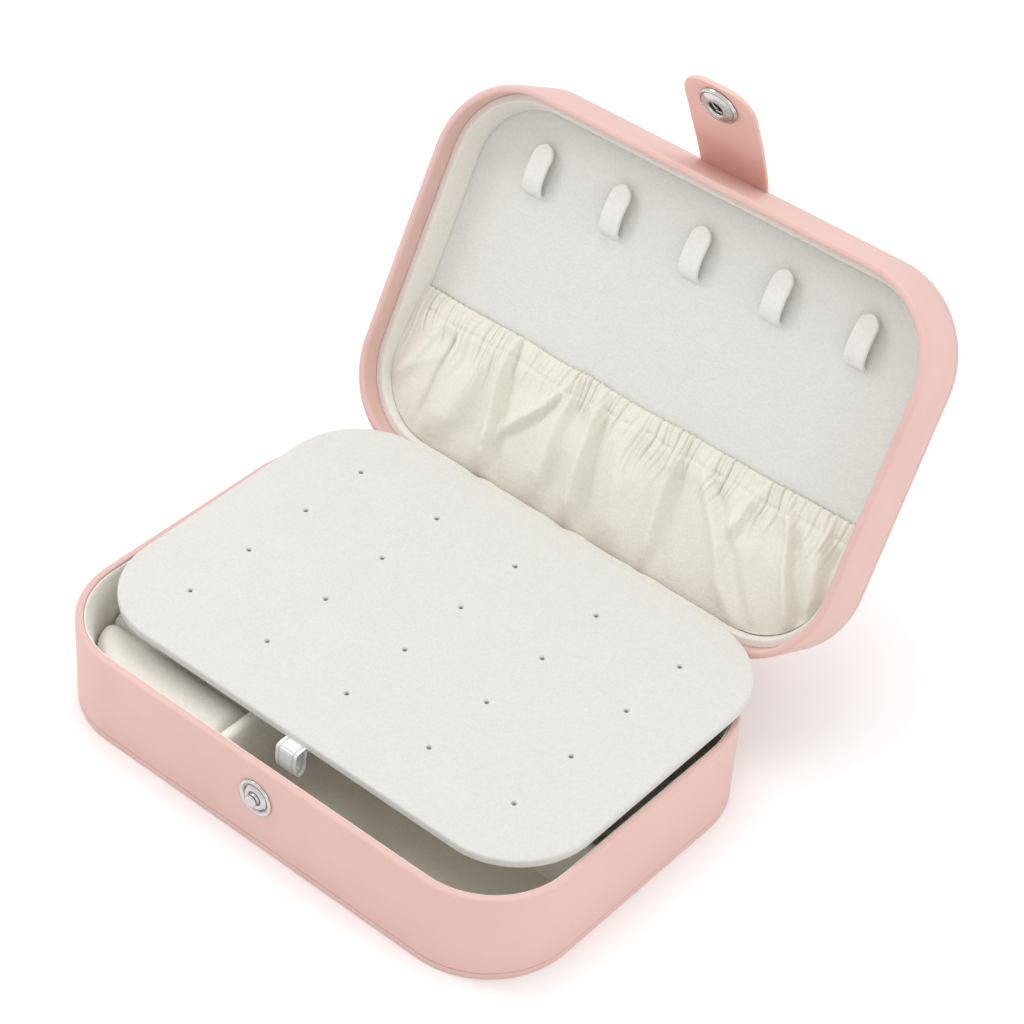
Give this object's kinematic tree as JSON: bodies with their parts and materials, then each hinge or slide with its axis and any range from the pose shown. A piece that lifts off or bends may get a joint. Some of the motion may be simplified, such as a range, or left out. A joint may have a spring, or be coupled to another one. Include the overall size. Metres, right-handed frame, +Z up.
{
  "type": "jewellery case",
  "caption": "Hinged travel jewellery case with a padded lining, ring rolls, necklace hooks, an elastic pocket, a loose earring board and a snap strap.",
  "frame": {"origin": "middle of the base's underside", "axes": "+X along the rear hinge, +Y towards the hinge, +Z up; the lid stands open"},
  "size_m": [0.2, 0.229, 0.1895],
  "materials": {
    "leather": "fine grained pink, satin",
    "lining_velvet": "off-white velvet",
    "pocket_cloth": "cream brushed cloth",
    "elastic": "woven elastic",
    "ribbon": "white satin ribbon",
    "board": "stiff board",
    "snap_metal": "polished nickel"
  },
  "bodies": {
    "base": {"base_wall": "leather", "base_bottom_panel": "leather", "base_lining_wall": "lining_velvet", "base_lining_floor": "lining_velvet", "long_divider": "lining_velvet", "cross_divider": "lining_velvet", "ring_roll_1": "lining_velvet", "ring_roll_2": "lining_velvet", "ring_roll_3": "lining_velvet", "ring_roll_4": "lining_velvet", "ring_roll_5": "lining_velvet", "ring_roll_6": "lining_velvet", "snap_stud": "snap_metal", "snap_stud_rivet": "snap_metal", "hinge_leather": "leather"},
    "lid": {"lid_wall": "leather", "lid_top_panel": "leather", "lid_lining_wall": "lining_velvet", "lid_back_panel": "lining_velvet", "necklace_hook_1": "lining_velvet", "necklace_hook_2": "lining_velvet", "necklace_hook_3": "lining_velvet", "necklace_hook_4": "lining_velvet", "necklace_hook_5": "lining_velvet", "pocket_fabric": "pocket_cloth", "pocket_elastic": "elastic"},
    "strap": {"snap_strap": "leather", "snap_cap": "snap_metal", "snap_socket": "snap_metal"},
    "board": {"board_core": "board", "board_cloth_top": "lining_velvet", "board_cloth_bottom": "lining_velvet", "ribbon_loop": "ribbon"}
  },
  "joints": [
    {"name": "lid_hinge", "type": "hinge", "parent": "base", "child": "lid", "pos_m": [0, 0.0706, 0.03335], "axis": [1, 0, 0], "range_deg": [0, 117], "deforming": ["hinge_leather"]},
    {"name": "strap_hinge", "type": "hinge", "parent": "lid", "child": "strap", "pos_m": [0, 0.1563, 0.14726], "axis": [1, 0, 0], "range_deg": [-50, 34], "stiffness_Nm_per_rad": 0.05},
    {"name": "board_lift", "type": "hinge", "parent": "lid", "child": "board", "pos_m": [0, 0.07601, 0.03825], "axis": [1, 0, 0], "range_deg": [-117.9, 0], "deforming": ["ribbon_loop"]}
  ],
  "couplings": [
    {"joint": "board_lift", "follows": "lid_hinge", "ratio": -1.0077}
  ]
}
